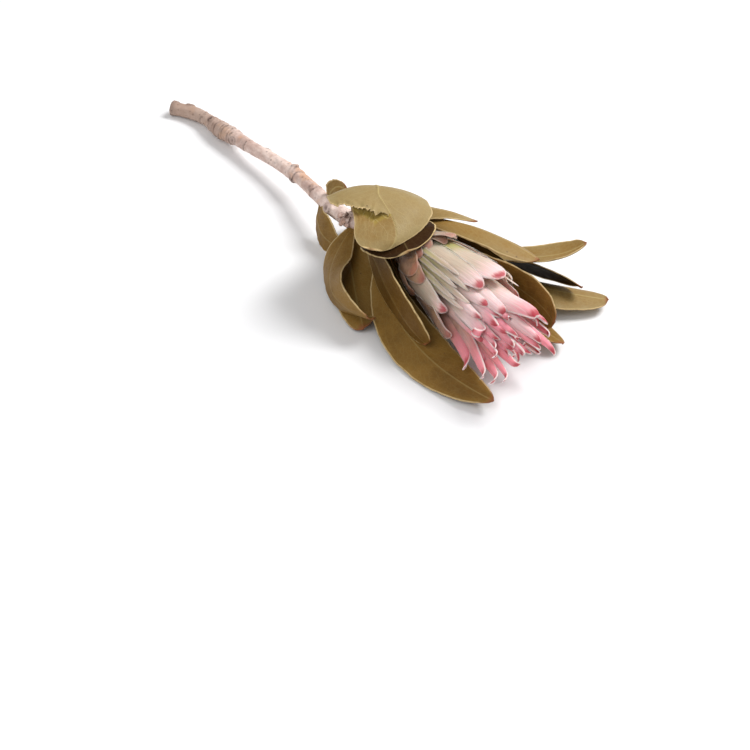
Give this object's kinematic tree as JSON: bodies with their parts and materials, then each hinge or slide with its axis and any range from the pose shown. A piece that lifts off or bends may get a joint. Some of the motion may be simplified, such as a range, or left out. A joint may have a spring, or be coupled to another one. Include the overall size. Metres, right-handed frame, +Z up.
{
  "type": "dried protea flower",
  "caption": "Dried protea flower lying on its side: cut woody stem, leathery leaves and a half-open bloom of overlapping cream to red bracts.",
  "frame": {"origin": "on the surface that the flower lies on, under the middle of its bounding box", "axes": "+Z up from that surface; +X along the flower, from the cut end of the stem to the tips of the bloom"},
  "size_m": [0.3113, 0.1078, 0.0554],
  "materials": {
    "stem": "dry bark, pinkish beige",
    "leaf": "dry leathery leaf, satin",
    "bracts": "dry silky bract, matte",
    "florets": "fine silky hairs"
  },
  "bodies": {
    "root": {"stem": "stem", "leaf_top_torn": "leaf", "leaf_top_under": "leaf", "leaf_small_curled": "leaf", "leaf_stem_left": "leaf", "leaf_left_flank": "leaf", "leaf_left_rolled": "leaf", "leaf_back_long": "leaf", "leaf_right_high": "leaf", "leaf_right_back": "leaf", "leaf_right_dark": "leaf", "leaf_right_inner": "leaf", "leaf_right_flank": "leaf", "leaf_right_low": "leaf", "leaf_under_left": "leaf", "leaf_under_right": "leaf", "leaf_under_middle": "leaf", "leaf_back_low": "leaf", "leaf_front_low": "leaf", "bract_head": "bracts", "floret_cone": "florets"}
  },
  "joints": []
}
